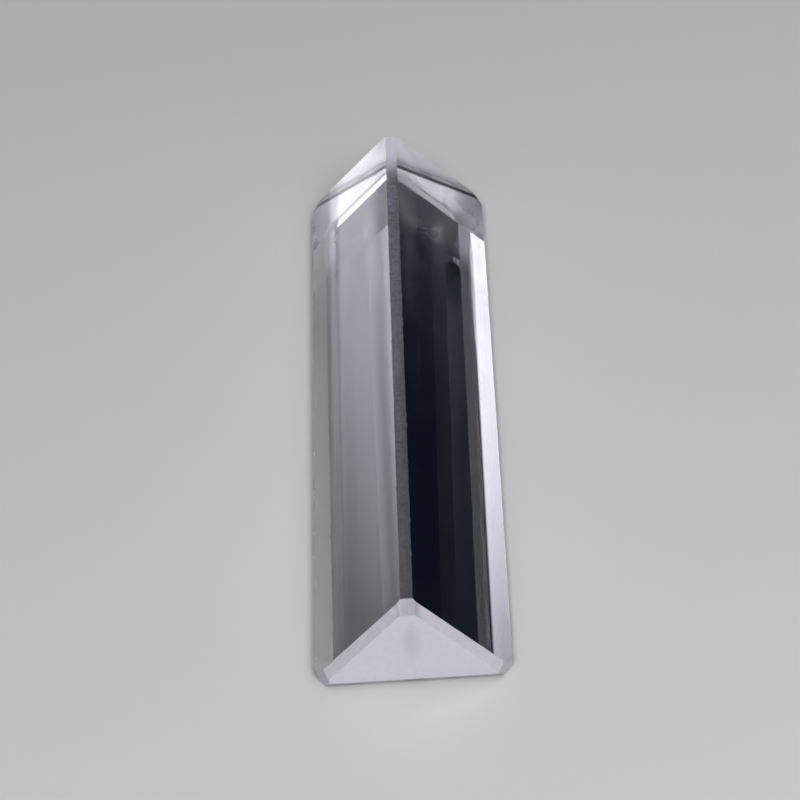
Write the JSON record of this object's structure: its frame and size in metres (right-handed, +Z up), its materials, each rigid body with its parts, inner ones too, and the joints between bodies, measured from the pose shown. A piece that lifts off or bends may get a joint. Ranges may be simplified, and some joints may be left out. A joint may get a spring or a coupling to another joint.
{
  "type": "right-angle glass prism",
  "caption": "Long right-angle block of clear glass with polished faces, ground ends and bevelled edges, used to turn or split a beam of light.",
  "frame": {"origin": "middle of the bottom (hypotenuse) face, halfway between the two long outer edges and the two ends", "axes": "+Y along the ridge towards the far end, +Z up through the ridge, +X to the right"},
  "size_m": [0.0228, 0.1, 0.0117],
  "materials": {
    "clear_glass": "polished faces, fine-ground ends and bevels"
  },
  "bodies": {
    "root": {"prism": "clear_glass"}
  },
  "joints": []
}
